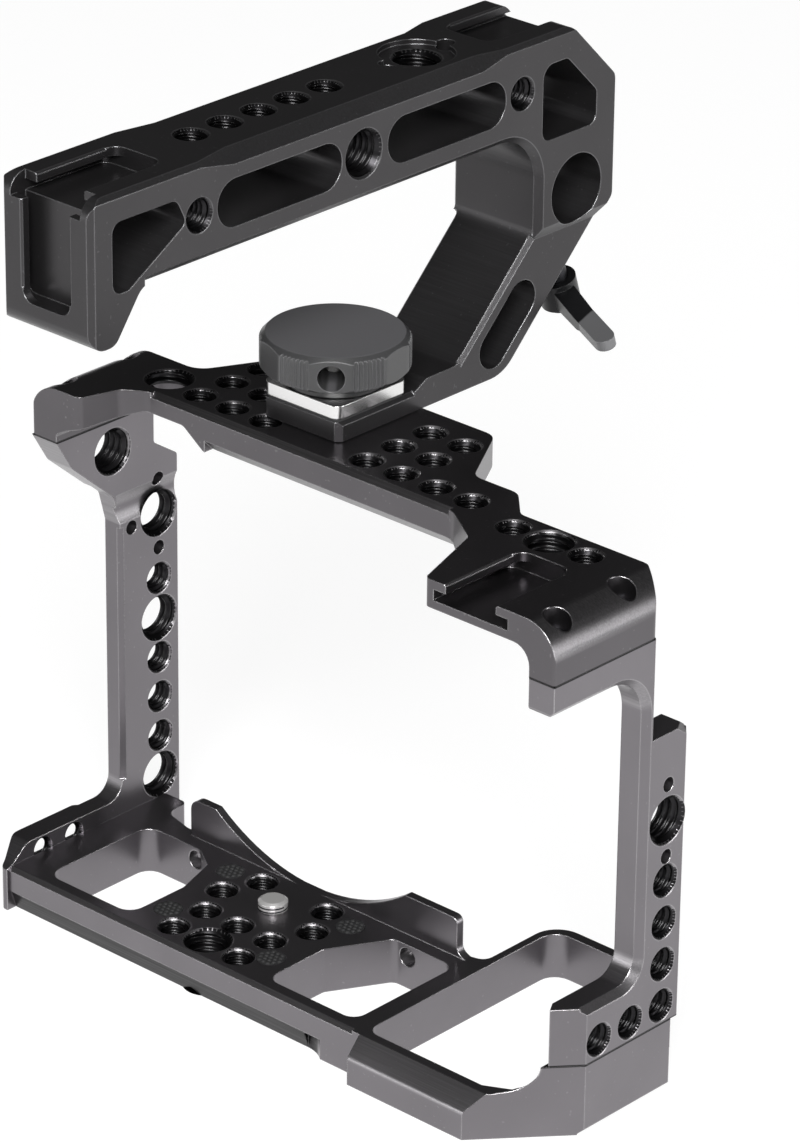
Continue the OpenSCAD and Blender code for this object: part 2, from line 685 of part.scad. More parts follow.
camera_head_r_inset_1 = 0.5;
module camera_screw_washer() color(rubber) difference() {
    translate([0, 0, camera_top - face_gap - camera_washer_h])
        cylinder(r = camera_head_r - camera_head_r_inset_1, h = camera_washer_h);
    translate([0, 0, camera_top - camera_washer_h - over]) cylinder(r = camera_neck_r + run_gap,
        h = camera_washer_h + over * 2);
}

module pad(i) color(rubber) translate([pad_places[i].x, pad_places[i].y, -pad_sunk])
    cylinder(r = pad_r, h = pad_sunk + pad_up);

// Top handle. Its places along Y are counted from the clamp stud's axis.
handle_x = -2.2;
knob_y = 20;
stud_r = 4.7;
grip_top = crown_z + handle_h;
grip_bottom = grip_top - grip_h;
grip_rear = knob_y - handle_back;
brow_y = knob_y + handle_front;
foot_h = 4.4;
foot_z = crown_z + face_gap;
knob_y_inset_1 = 10.1;
foot_rear = knob_y - knob_y_inset_1;
foot_step = 2;
leg_rise = 10;
brow_y_inset_1 = 22.7;
leg_inner_y = brow_y - brow_y_inset_1;
leg_front_drop = 44.7 - crown_z;
leg_rear_drop = 64.2 - crown_z;
brow_z = brow_y + leg_front_drop + crown_z;
brow_y_inset_2 = 11.2;
rod_y = brow_y - brow_y_inset_2;
brow_z_outset_1 = 4.35;
rod_z = brow_z + brow_z_outset_1;
beak_drop = 10.2;
grip_top_inset_1 = 10.4;
side_row_z = grip_top - grip_top_inset_1;
top_handle_x = grip_w / 2;
side_bevel = 1.5;
rim_bevel = 1;
scallop = 2.7;
knob_y_outset_1 = 22.8;
handle_arri_y = knob_y + knob_y_outset_1;
knob_y_inset_2 = 3.5;
handle_row_y = knob_y - knob_y_inset_2;
window_r = 2.3;
slot_r = 4.9;
strap_r = 4.2;
rod_y_inset_1 = 22.7;
rod_z_inset_1 = 28.75;
strap_low = [rod_y - rod_y_inset_1, rod_z - rod_z_inset_1];
strap_run = [8.3, 8.3];

brow_y_inset_3 = 13.5;
grip_top_inset_2 = 13.5;
knob_y_outset_2 = 12;
knob_y_outset_3 = 15.5;
grip_rear_outset_1 = 13.4;
grip_rear_outset_2 = 6.1;
module handle_profile() {
    along_x([[grip_rear, grip_top, round_large], [brow_y - brow_y_inset_3, grip_top, round_broad],
        [brow_y, grip_top - grip_top_inset_2, round_mid],
        [brow_y, brow_z, round_low], [foot_z - leg_front_drop - crown_z, foot_z, round_leg],
            [foot_rear, foot_z, 0],
        [foot_rear, crown_z + foot_h, 0], [knob_y + knob_y_outset_2, crown_z + foot_h, round_wide],
        [knob_y + knob_y_outset_3, crown_z + foot_h + foot_step, round_wide],
        [foot_h + foot_step - leg_rear_drop, crown_z + foot_h + foot_step, round_full],
        [leg_inner_y, leg_inner_y + leg_rear_drop + crown_z, round_large],
            [leg_inner_y, grip_bottom, grip_corner_r],
        [grip_rear + grip_rear_outset_1, grip_bottom, round_large], [grip_rear + grip_rear_outset_2,
            grip_bottom - beak_drop, round_wide],
        [grip_rear, grip_bottom - beak_drop, round_broad]], handle_x - grip_w / 2 - over,
            handle_x + grip_w / 2 + over);
}

// Front view of the handle: a narrow leg that widens under the grip
brow_z_inset_1 = 4;
ramp_z_outset_1 = 2.5;
module handle_envelope() {
    ramp_z = brow_z - brow_z_inset_1;
    along_y([for (s = [1, -1]) each s > 0 ?
        [[handle_x + leg_w / 2, crown_z - over, 0], [handle_x + leg_w / 2, ramp_z, 0],
         [handle_x + grip_w / 2, ramp_z + ramp_z_outset_1, 0], [handle_x + grip_w / 2, grip_top + over,
             0]] :
        [[handle_x - grip_w / 2, grip_top + over, 0], [handle_x - grip_w / 2, ramp_z + ramp_z_outset_1, 0],
         [handle_x - leg_w / 2, ramp_z, 0], [handle_x - leg_w / 2, crown_z - over, 0]]],
        grip_rear - over, brow_y + over);
}

grip_rear_outset_3 = 28.5;
brow_y_inset_4 = 28.3;
knob_y_inset_3 = 5.1;
grip_rear_outset_4 = 38.2;
grip_rear_outset_5 = 62.6;
knob_y_outset_4 = 6.6;
brow_y_inset_5 = 38.1;
grip_rear_outset_6 = 5.6;
side_row_z_outset_1 = 4.8;
grip_rear_outset_7 = 22.5;
grip_rear_outset_8 = 25.1;
side_row_z_inset_1 = 0.4;
grip_rear_outset_9 = 9.7;
side_row_z_inset_2 = 9.6;
brow_y_inset_6 = 22.1;
side_row_z_outset_2 = 4.1;
brow_y_inset_7 = 14.8;
brow_y_inset_8 = 5.6;
side_row_z_inset_3 = 5.1;
side_row_z_inset_4 = 12.1;
grip_top_inset_3 = 1.1;
grip_top_inset_4 = 3;
brow_y_outset_1 = 32.3;
grip_rear_outset_10 = 24.8;
grip_bottom_outset_1 = 4.4;
grip_top_inset_5 = 4.1;
module handle_cuts() {
    // Holes and windows through both cheeks of the grip
    for (y = [grip_rear + grip_rear_outset_3, brow_y - brow_y_inset_4])
        translate([handle_x + grip_w / 2, y, side_row_z]) facing_x() tapped(quarter_r, grip_w + over);
    translate([handle_x + grip_w / 2, knob_y - knob_y_inset_3, side_row_z])
        facing_x() tapped(three_eighths_r, grip_w + over);
    for (p = [[grip_rear + grip_rear_outset_4, grip_rear + grip_rear_outset_5],
        [knob_y + knob_y_outset_4, brow_y - brow_y_inset_5]])
        along_x(slot([p[0], side_row_z], [p[1], side_row_z], slot_r),
            handle_x - grip_w / 2 - over, handle_x + grip_w / 2 + over);
    along_x([[grip_rear + grip_rear_outset_6, side_row_z + side_row_z_outset_1, window_r],
        [grip_rear + grip_rear_outset_7, side_row_z + side_row_z_outset_1, window_r],
        [grip_rear + grip_rear_outset_8, side_row_z - side_row_z_inset_1, round_small],
            [grip_rear + grip_rear_outset_9, side_row_z - side_row_z_inset_2, round_low],
        [grip_rear + grip_rear_outset_6, side_row_z - side_row_z_inset_2, window_r]],
            handle_x - grip_w / 2 - over, handle_x + grip_w / 2 + over);
    along_x([[brow_y - brow_y_inset_6, side_row_z + side_row_z_outset_2, round_wide],
        [brow_y - brow_y_inset_7, side_row_z + side_row_z_outset_2, round_low],
        [brow_y - brow_y_inset_8, side_row_z - side_row_z_inset_3, round_low],
            [brow_y - brow_y_inset_8, side_row_z - side_row_z_inset_4, window_r],
        [brow_y - brow_y_inset_6, side_row_z - side_row_z_inset_4, window_r]],
            handle_x - grip_w / 2 - over, handle_x + grip_w / 2 + over);
    // Bore of the rod and slot of the leg
    translate([handle_x, rod_y, rod_z]) facing_x() translate([0, 0, -grip_w / 2 - over])
        cylinder(r = rod_r, h = grip_w + over * 2);
    along_x(slot(strap_low, strap_low + strap_run, strap_r), handle_x - leg_w / 2 - over,
        handle_x + leg_w / 2 + over);
    // Threaded row and the locating recess on top
    for (i = [0 : 4]) translate([handle_x, handle_row_y - i * pitch, grip_top])
        tapped(quarter_r, grip_h / 2);
    translate([handle_x, handle_arri_y, grip_top - grip_top_inset_3]) cylinder(r = 7.8, h = over * 2);
    translate([handle_x, handle_arri_y, grip_top - grip_top_inset_3]) tapped(three_eighths_r, grip_h / 2);
    for (s = [-1, 1]) translate([handle_x, handle_arri_y + s * 8.4, grip_top - grip_top_inset_4])
        cylinder(r = 1.9, h = 3 + over);
    // Three cold shoes
    translate([handle_x, 0, grip_top]) mirror([0, 1, 0]) cold_shoe(-brow_y - over,
        -brow_y + brow_y_outset_1);
    translate([handle_x, 0, grip_top]) cold_shoe(grip_rear - over, grip_rear + grip_rear_outset_10);
    translate([handle_x, grip_rear, 0]) facing_rear() mirror([0, 1, 0]) translate([0, 0, 0])
        cold_shoe(-grip_top - over, -grip_bottom + grip_bottom_outset_1);
    translate([handle_x - shoe_slot_w / 2, grip_rear - over, grip_top - grip_top_inset_5])
        cube([shoe_slot_w, 5.1, 4.1 + over]);
    // Bore of the clamp stud and thread of the rod clamp
    translate([handle_x, knob_y, crown_z - over]) cylinder(r = stud_r + run_gap, h = foot_h + over * 2);
    at_lever() cylinder(r = lever_thread_r + run_gap, h = hub_start);
}

// Bevels along the grip's and the leg's edges
grip_rear_outset_11 = 38;
brow_y_inset_9 = 40;
grip_rear_outset_12 = 29;
grip_rear_outset_13 = 14;
leg_inner_y_inset_1 = 10.7;
grip_bottom_inset_1 = 10.7;
knob_y_outset_5 = 25;
module handle_bevels() {
    for (s = [-1, 1]) {
        gx = handle_x + s * grip_w / 2;
        lx = handle_x + s * leg_w / 2;
        bevel([gx, grip_rear - over, grip_top], [gx, brow_y, grip_top], rim_bevel);
        bevel([gx, grip_rear, grip_bottom - beak_drop - over], [gx, grip_rear, grip_top + over], 1.1);
        bevel([gx, grip_rear + grip_rear_outset_11, grip_top], [gx, brow_y - brow_y_inset_9, grip_top],
            scallop);
        translate([gx, grip_rear + grip_rear_outset_12, grip_top]) rotate([-90, 0, 0])
            cylinder(r1 = rim_bevel, r2 = scallop, h = 9, $fn = 4);
        translate([gx, brow_y - brow_y_inset_9, grip_top]) rotate([-90, 0, 0])
            cylinder(r1 = scallop, r2 = rim_bevel, h = 7, $fn = 4);
        bevel([gx, grip_rear + grip_rear_outset_13, grip_bottom], [gx, leg_inner_y - leg_inner_y_inset_1,
            grip_bottom], side_bevel);
        bevel([gx, leg_inner_y, brow_z - brow_z_inset_1 - over], [gx, leg_inner_y,
            grip_bottom - grip_bottom_inset_1], side_bevel);
        translate([gx, leg_inner_y - leg_inner_y_inset_1, grip_bottom - grip_bottom_inset_1])
            rotate([90, 0, 90])
            rotate_extrude(angle = 90) translate([10.7, 0]) circle(r = side_bevel, $fn = 4);
        bevel([lx, knob_y + knob_y_outset_5, crown_z + foot_h + foot_step],
            [lx, leg_inner_y, leg_inner_y + leg_rear_drop + crown_z], 0.9);
        bevel([lx, foot_rear - over, crown_z + foot_h], [lx, knob_y + knob_y_outset_2, crown_z + foot_h],
            0.8);
        bevel([lx, foot_rear, crown_z - over], [lx, foot_rear, crown_z + foot_h + over], 1.2);
    }
}

module handle_body() color(anodised) difference() {
    intersection() {
        handle_profile();
        handle_envelope();
    }
    handle_cuts();
    handle_bevels();
}

// Clamp of the handle: gasket, square washer, knob and stud
gasket_h = 0.5;
washer_h = 2.7;
washer_z = crown_z + foot_h + gasket_h;
neck_h = 3.2;
neck_r = 10;
knob_z = washer_z + face_gap + washer_h + neck_h;
knob_flats = 6;
knob_flat_share = 0.963;
knob_edge = 1.2;
knob_face = 40;
knob_hole_share = 0.42;
knob_hole_r = 2.75;
groove_count = 7;
groove_turn = 3.7;
groove_r = 0.45;
stud_down = 7.5;

module square_ring(w, low, high, corner) {
    difference() {
        slab([for (q = [[1, 1], [-1, 1], [-1, -1], [1, -1]]) [handle_x + q.x * w / 2,
            knob_y + q.y * w / 2, corner]], low, high);
        translate([handle_x, knob_y, low - over]) cylinder(r = stud_r + run_gap, h = high - low + over * 2);
    }
}

washer_w_inset_1 = 0.8;
module clamp_gasket() color(rubber) square_ring(washer_w - washer_w_inset_1, crown_z + foot_h, washer_z,
    1.5);
module clamp_washer() color(steel) square_ring(washer_w, washer_z + face_gap,
    washer_z + face_gap + washer_h, 2);

knob_face_inset_1 = 90;
module clamp_knob() color(anodised) translate([handle_x, knob_y, 0]) difference() {
    union() {
        translate([0, 0, knob_z - neck_h + face_gap]) cylinder(r = neck_r, h = neck_h - face_gap + over);
        translate([0, 0, knob_z]) cylinder(r1 = knob_r - knob_edge / 2, r2 = knob_r, h = knob_edge / 2);
        translate([0, 0, knob_z + knob_edge / 2]) cylinder(r = knob_r, h = knob_h - knob_edge * 1.5);
        translate([0, 0, knob_z + knob_h - knob_edge]) cylinder(r1 = knob_r, r2 = knob_r - knob_edge,
            h = knob_edge);
    }
    translate([0, 0, knob_z - neck_h - over]) cylinder(r = stud_r, h = neck_h + knob_h / 2 + over);
    // Six flats, with a group of grooves between each pair
    for (i = [0 : knob_flats - 1]) rotate([0, 0, knob_face - knob_face_inset_1 + i * 360 / knob_flats]) {
        translate([knob_r * knob_flat_share, -knob_r, knob_z - over]) cube([knob_r, knob_r * 2,
            knob_h + over * 2]);
        for (k = [0 : groove_count - 1])
            rotate([0, 0, 180 / knob_flats + (k - (groove_count - 1) / 2) * groove_turn])
            translate([knob_r, 0, knob_z - over]) cylinder(r = groove_r, h = knob_h + over * 2, $fn = 8);
    }
    rotate([0, 0, knob_face - knob_face_inset_1]) translate([-knob_r - over, 0,
        knob_z + knob_h * knob_hole_share]) facing_x()
        cylinder(r = knob_hole_r, h = (knob_r + over) * 2);
}

// The stud is pressed into the knob and threaded into the top plate
module clamp_stud() color(steel) translate([handle_x, knob_y, 0]) difference() {
    translate([0, 0, crown_z - stud_down]) cylinder(r = stud_r,
        h = knob_z + knob_h / 2 - crown_z + stud_down);
    rotate([0, 0, knob_face - knob_face_inset_1]) translate([-knob_r - over, 0,
        knob_z + knob_h * knob_hole_share]) facing_x()
        cylinder(r = knob_hole_r, h = (knob_r + over) * 2);
}

// Rod clamp: its screw runs from the rod bore down and slightly forward
lever_tilt = 18;
lever_thread_r = 2.5;
tip_h = 2;
tip_start = rod_r + run_gap;
stud_start = tip_start + tip_h + face_gap;
hub_start = 26.3;
hub_h = 6.2;
hub_r = 4.2;
hub_start_outset_1 = 1.8;
insert_end = hub_start + hub_start_outset_1;
web_t = 1;
lever_lift = 2.8;
cap_start = insert_end + face_gap + web_t + lever_lift + face_gap;
cap_h = 1.2;
cap_r = 3;
cap_neck_r = 1.5;
hub_start_outset_2 = 2.4;
arm_start = hub_start + hub_start_outset_2;
arm_t = 3;
arm_root_r = 2.4;
neck_drop = 1.4;
paddle_w = 4.4;
paddle_t = 2.4;
arm_turn = 24;

module at_lever() {
    translate([handle_x, rod_y, rod_z]) rotate([180 + lever_tilt, 0, 0]) children();
}

module lever_tip() color(steel) at_lever() translate([0, 0, tip_start])
    cylinder(r = lever_thread_r, h = tip_h);

module lever_stud() color(steel) at_lever() {
    translate([0, 0, stud_start]) cylinder(r = lever_thread_r, h = insert_end - stud_start);
    translate([0, 0, insert_end - over]) cylinder(r = cap_neck_r, h = cap_start - insert_end + over * 2);
    translate([0, 0, cap_start]) cylinder(r = cap_r, h = cap_h);
}

module lever_arm() color(rubber) at_lever() difference() {
    union() {
        translate([0, 0, hub_start]) cylinder(r = hub_r, h = hub_h);
        rotate([0, 0, arm_turn]) {
            hull() {
                translate([0, 0, arm_start - neck_drop]) cylinder(r = arm_root_r, h = arm_t + neck_drop,
                    $fn = 32);
                translate([lever_reach / 2, 0, arm_start]) cylinder(r = paddle_w / 2, h = arm_t, $fn = 32);
            }
            hull() for (x = [lever_reach / 2, lever_reach - paddle_w / 2])
                translate([x, 0, arm_start]) cylinder(r = paddle_w / 2, h = paddle_t, $fn = 32);
        }
    }
    translate([0, 0, hub_start - over]) cylinder(r = lever_thread_r + run_gap,
        h = insert_end + face_gap - hub_start + over);
    translate([0, 0, insert_end]) cylinder(r = cap_neck_r + run_gap, h = hub_h);
    translate([0, 0, insert_end + face_gap + web_t]) cylinder(r = cap_r + run_gap, h = hub_h);
}

base_plate();
left_side_plate();
right_side_plate();
top_plate();
for (i = [0, 1]) {
    end = i == 0 ? "rear" : "front";
    color(steel)
        translate([top_right_screw_x, top_right_screw_y[i], top_seat_z]) cap_screw(screw_reach);
    color(steel)
        translate([top_left_screw_x, top_left_screw_y[i], top_seat_z]) cap_screw(screw_reach);
    color(steel)
        translate([base_right_screw_x, base_right_screw_y[i], base_right_seat_z]) mirror([0, 0, 1])
        cap_screw(base_right_reach);
    color(steel)
        translate([base_left_seat_x, base_left_screw_y[i], base_left_screw_z]) facing_x() mirror([0, 0, 1])
        cap_screw(base_left_reach);
}
pad(0);  // pad_left_front
pad(1);  // pad_right_front
pad(2);  // pad_left_rear
pad(3);  // pad_right_rear
camera_screw();
camera_screw_washer();
handle_body();
clamp_gasket();
clamp_washer();
clamp_knob();
clamp_stud();
lever_tip();
lever_stud();
lever_arm();
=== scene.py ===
import math

import bmesh
import bpy
import numpy as np
from mathutils import Matrix, Vector


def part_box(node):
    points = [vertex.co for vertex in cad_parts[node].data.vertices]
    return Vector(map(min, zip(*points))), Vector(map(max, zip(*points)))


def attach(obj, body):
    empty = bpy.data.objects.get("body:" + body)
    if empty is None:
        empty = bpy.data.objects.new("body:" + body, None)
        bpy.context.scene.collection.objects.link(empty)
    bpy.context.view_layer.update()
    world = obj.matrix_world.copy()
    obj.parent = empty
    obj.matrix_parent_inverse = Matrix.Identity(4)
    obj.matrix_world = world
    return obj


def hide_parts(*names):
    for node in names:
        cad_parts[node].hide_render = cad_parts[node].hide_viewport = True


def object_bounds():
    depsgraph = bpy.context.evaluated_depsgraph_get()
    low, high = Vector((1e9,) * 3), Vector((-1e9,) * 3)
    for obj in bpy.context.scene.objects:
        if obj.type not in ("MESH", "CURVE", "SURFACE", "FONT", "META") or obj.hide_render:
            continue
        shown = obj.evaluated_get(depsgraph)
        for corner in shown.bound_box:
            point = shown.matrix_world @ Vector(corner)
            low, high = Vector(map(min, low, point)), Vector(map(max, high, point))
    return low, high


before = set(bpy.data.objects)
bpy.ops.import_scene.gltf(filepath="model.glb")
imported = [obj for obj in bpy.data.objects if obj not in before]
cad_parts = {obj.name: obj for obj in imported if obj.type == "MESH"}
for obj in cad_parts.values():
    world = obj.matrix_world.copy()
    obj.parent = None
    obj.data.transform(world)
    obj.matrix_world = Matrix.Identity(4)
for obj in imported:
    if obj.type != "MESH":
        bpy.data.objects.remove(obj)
cad_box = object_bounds()
MM = 0.001

# The camera stands behind the cage on the grip side, well above it, with a long
# lens, so that the rear edges and both rows of side holes can be seen at once.
camera_place = Vector((690.9, -717.6, 547.1)) * MM
camera_azimuth, camera_height, camera_roll = map(math.radians, (42.4654, 25.3011, -0.6704))
look = Vector((-math.sin(camera_azimuth) * math.cos(camera_height),
               math.cos(camera_azimuth) * math.cos(camera_height), -math.sin(camera_height)))
level = look.cross(Vector((0, 0, 1))).normalized()
right = level * math.cos(camera_roll) + look.cross(level) * math.sin(camera_roll)
lens = bpy.data.cameras.new("camera")
lens.lens, lens.sensor_width = 174.554, 36
lens.clip_start, lens.clip_end = 0.05, 20
camera = bpy.data.objects.new("camera", lens)
turn = Matrix((right, right.cross(look), -look)).transposed()
camera.matrix_world = Matrix.Translation(camera_place) @ turn.to_4x4()
bpy.context.scene.collection.objects.link(camera)
bpy.context.scene.camera = camera
bpy.context.scene.view_settings.view_transform = "Standard"


# The four machined plates of the cage are black anodised aluminium. Each is milled
# from the solid, blasted to a satin grain and dyed before it is joined to the others.
# Their greys differ a little, the top plate's much deeper grey is painted shade, and
# thin lines of painted shade show the gaps where they meet.
class Value:
    """A socket's value in a material; arithmetic on it adds Math nodes."""

    def __init__(self, finish, socket):
        self.finish, self.socket = finish, socket

    def maths(self, operation, *others):
        inputs = dict(enumerate((self, *others)))
        return self.finish.node("ShaderNodeMath", {"operation": operation}, inputs)[0]

    def __add__(self, other):
        return self.maths("ADD", other)

    def __sub__(self, other):
        return self.maths("SUBTRACT", other)

    def __mul__(self, other):
        return self.maths("MULTIPLY", other)

    def __radd__(self, other):
        return self + other

    def __rmul__(self, other):
        return self * other

    def __rsub__(self, other):
        return self * -1 + other

    def clamp(self):
        return self.maths("MINIMUM", 1).maths("MAXIMUM", 0)


class Finish:
    """A node material. Its node method adds any node, and the others use it."""

    def __init__(self, name):
        self.material = bpy.data.materials.new(name)
        self.material.use_nodes = True
        self.tree = self.material.node_tree
        self.tree.nodes.clear()

    def node(self, kind, settings=(), inputs=()):
        """Settings are set first, then each socket gets its value or link."""
        made = self.tree.nodes.new(kind)
        for key, setting in dict(settings).items():
            setattr(made, key, setting)
        for key, given in dict(inputs).items():
            if isinstance(given, Value):
                self.tree.links.new(given.socket, made.inputs[key])
            else:
                made.inputs[key].default_value = given
        return [Value(self, out) for out in made.outputs]

    def mix(self, share, first, second):
        """A colour between two, by a share of the second. The first may be a value."""
        pair = {0: share, 6: first if isinstance(first, Value) else (*first, 1), 7: (*second, 1)}
        return self.node("ShaderNodeMix", {"data_type": "RGBA"}, pair)[2]

    def noise(self, place, scale, detail):
        """Soft noise from about 0 to 1, finer where the scale is larger."""
        return self.node("ShaderNodeTexNoise", {}, {"Vector": place, "Scale": scale, "Detail": detail})[0]

    def stretched(self, place, scales):
        """Object coordinates, scaled by a different amount along each axis."""
        return self.node("ShaderNodeMapping", {}, {"Vector": place, "Scale": scales})[0]

    def surface(self, **inputs):
        """The finished material; a socket's name has underscores for its spaces."""
        named = {key.replace("_", " "): v for key, v in inputs.items()}
        shader = self.node("ShaderNodeBsdfPrincipled", {}, named)[0]
        self.node("ShaderNodeOutputMaterial", {}, {"Surface": shader})
        return self.material


edge_radius, grain_height = 0.35 * MM, 0.03 * MM
streak_scales, grain_scale, cloud_scale, speck_scale = (60, 3500, 3500), 4200, 45, 1500
crisp, blurred, seam_crisp = 8000, 3000, 12000
# The dark lines at the seams are painted shade in the gaps where the plates meet.
seam_shade_colour, seam_half = (0.006, 0.006, 0.006), 0.3 * MM
# The base's rear slot is darkened with painted shade, broken by fine machining lines.
groove_shade_colour, groove_scales = (0.01, 0.01, 0.01), (40, 3500, 3500)
groove_top, groove_rear, groove_left, groove_right = -5.7 * MM, -23.5 * MM, -51.4 * MM, 36 * MM


def anodised(name, colour, highlight_and_wear_colour, grain, streaks, metallic, paints_groove_shade=False, seams=(), seam_from=-1.0,
             top=None):
    """Dyed aluminium: blasted grain, milling streaks on slopes, edges lightened by wear and a painted
    highlight.
    Seams are heights of thin lines of painted shade in the gaps where plates join, drawn where x
    is past seam_from. A groove flag paints shade into the base's rear slot, and top is a lighter
    colour painted on the faces that look up or down, as light from above.
    A mask is a distance times its crispness, held between 0 and 1."""
    f = Finish(name)
    place = f.node("ShaderNodeTexCoord")[3]
    normal = f.node("ShaderNodeNewGeometry")[1]
    rounded = f.node("ShaderNodeBevel", {"samples": 6}, {"Radius": edge_radius})[0]
    same = f.node("ShaderNodeVectorMath", {"operation": "DOT_PRODUCT"}, {0: rounded, 1: normal})[1]
    edge = ((1 - same) * 9).clamp()
    upward = f.node("ShaderNodeSeparateXYZ", {}, {0: normal})[2].maths("ABSOLUTE")
    slope = ((upward - 0.05) * 8).clamp() * ((0.99 - upward) * 30).clamp()
    milled = f.noise(f.stretched(place, streak_scales), 1.0, 3.0)
    blasted = f.noise(place, grain_scale, 1.0)
    cloud = f.noise(place, cloud_scale, 4.0)
    speck = ((f.noise(place, speck_scale, 0.0) - 0.8) * 30).clamp()
    tone = f.mix(cloud, [c * 0.86 for c in colour], [c * 1.14 for c in colour])
    tone = f.mix((slope * milled * streaks).clamp(), tone, highlight_and_wear_colour)
    # Edges are lightened by wear and a painted highlight, and dust specks get the same light colour.
    tone = f.mix((edge * (0.35 + cloud * 0.5) + speck * 0.12).clamp(), tone, highlight_and_wear_colour)
    # Faces that look up or down are painted lighter, a painted highlight for light from above.
    if top:
        tone = f.mix(((upward - 0.9) * 12).clamp(), tone, top)
    x, y, z = f.node("ShaderNodeSeparateXYZ", {}, {0: place})
    # Painted shade in the thin gaps along the seams.
    for seam_z in seams:
        seam_shade_mask = ((seam_half - (z - seam_z).maths("ABSOLUTE")) * seam_crisp).clamp()
        tone = f.mix(seam_shade_mask * ((x - seam_from) * crisp).clamp() * 0.9, tone, seam_shade_colour)
    # Painted shade in the base's rear slot, broken by fine machining lines.
    if paints_groove_shade:
        deep = ((groove_top - z) * crisp).clamp() * ((groove_rear - y) * crisp).clamp()
        along = ((groove_right - x) * blurred).clamp() * ((x - groove_left) * crisp).clamp()
        cut = deep * along * ((0.7 - upward) * 20).clamp()
        lines = f.noise(f.stretched(place, groove_scales), 1.0, 3.0)
        tone = f.mix(cut * (0.62 + lines * 0.5).clamp(), tone, groove_shade_colour)
    rough = 0.24 + blasted * 0.09 - edge * 0.06 + cloud * 0.05
    height = blasted * grain + slope * milled * streaks
    bumped = f.node("ShaderNodeBump", {}, {"Strength": 0.35, "Distance": grain_height, "Height": height,
                                           "Normal": rounded})[0]
    return f.surface(Base_Color=tone, Roughness=rough, Normal=bumped, Metallic=metallic)


same_point = 0.002 * MM


def skin(node, body, material, blend_angle=22):
    """A merged copy of a CAD node whose arcs are shaded as the smooth curves they are."""
    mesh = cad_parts[node].data.copy()
    merged = bpy.data.objects.new(node + ".skin", mesh)
    bpy.context.scene.collection.objects.link(merged)
    work = bmesh.new()
    work.from_mesh(mesh)
    bmesh.ops.remove_doubles(work, verts=work.verts, dist=same_point)
    work.to_mesh(mesh)
    work.free()
    if "custom_normal" in mesh.attributes:
        mesh.attributes.remove(mesh.attributes["custom_normal"])
    mesh.shade_smooth()
    mesh.set_sharp_from_angle(angle=math.radians(blend_angle))
    mesh.materials.clear()
    mesh.materials.append(material)
    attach(merged, body)
    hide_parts(node)


crest_angle = math.radians(38)


def piece(name, points, faces, body, material):
    """A new mesh object from arrays of points in millimetres and faces. Edges that
    turn by more than crest_angle stay sharp."""
    mesh = bpy.data.meshes.new(name)
    mesh.from_pydata((np.asarray(points) * MM).tolist(), [], np.asarray(faces).tolist())
    mesh.validate()
    mesh.shade_smooth()
    mesh.set_sharp_from_angle(angle=crest_angle)
    mesh.materials.append(material)
    made = bpy.data.objects.new(name, mesh)
    bpy.context.scene.collection.objects.link(made)
    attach(made, body)
    return made


def grid_faces(rows, columns):
    """Four-sided faces of a grid of rows and columns of points."""
    i, j = np.meshgrid(np.arange(rows - 1), np.arange(columns - 1), indexing="ij")
    a = (i * columns + j).ravel()
    return np.stack([a, a + 1, a + columns + 1, a + columns], 1)


# Each plate has its grey, the top plate's deepened as painted shade, the heights of its seams,
# where lines of painted shade are drawn, and where along x these start.
seam, block_seam = 91 * MM, 5.5 * MM
block_start, everywhere = 80 * MM, -1.0
plate_highlight_and_wear, plate_grain, plate_streaks, plate_metallic = (0.6, 0.59, 0.6), 0.6, 0.4, 0.97
plates = {"base_plate": (0.2, (block_seam,), block_start),
          "left_side_plate": (0.185, (seam,), everywhere),
          "right_side_plate": (0.2, (seam, block_seam), everywhere),
          "top_plate": (0.125, (seam,), everywhere)}
for plate, (grey, seams, seam_from) in plates.items():
    # For the top plate this grey holds painted shade as well as dye.
    dye_and_shade = (grey, grey * 0.945, grey * 1.005)
    plate_black = anodised(plate + "_anodising", dye_and_shade, plate_highlight_and_wear, plate_grain, plate_streaks, plate_metallic,
                           plate == "base_plate", seams, seam_from)
    skin(plate, "cage", plate_black)


# Most round holes of the plates are tapped for 1/4 or 3/8 inch screws, and two small
# ones on the left for finer screws. The frame's holes are as wide as the thread's
# roots, so its crests stand in from their walls. A size is a radius and a pitch.
quarter, three_eighths, cross = (3.2, 1.27), (4.8, 1.5875), (2.2, 0.8)
hole_pitch = 9.2
mouth, root_inset, hidden = 0.45, 0.02, 0.05
ridge_places = np.array([0.0, 0.14, 0.5, 0.64])
ridge_heights = np.array([0.0, 0.0, 0.5, 0.5])


def thread(centre, out, size, length, sides=32):
    """A helical ribbon in a hole: radius is the wall's, less a ridge with a flat crest,
    and height rises by one pitch a turn, held between the mouth and the hole's end."""
    wall, pitch = size
    turns = math.ceil(length / pitch) + 2
    rows = (np.arange(turns)[:, None] + ridge_places).ravel() - 1
    drop = np.tile(ridge_heights * pitch, turns)
    angle = np.linspace(0, 2 * math.pi, sides + 1)
    z = (rows[:, None] + angle / (2 * math.pi)) * pitch
    inside = (z > 0) & (z < length)
    z = np.clip(z, 0, length)
    lead = wall + mouth - (length - z)
    radius = np.where(inside, np.maximum(wall - root_inset - drop[:, None], lead), wall + mouth + hidden)
    out = Vector(out)
    side = out.orthogonal().normalized()
    up = out.cross(side)
    base = Vector(centre) - out * length
    ring = np.stack([radius * np.cos(angle), radius * np.sin(angle), z], -1)
    points = ring @ np.array([side, up, out]) + np.array(base)
    return points.reshape(-1, 3), grid_faces(len(rows), sides + 1)[:, ::-1]


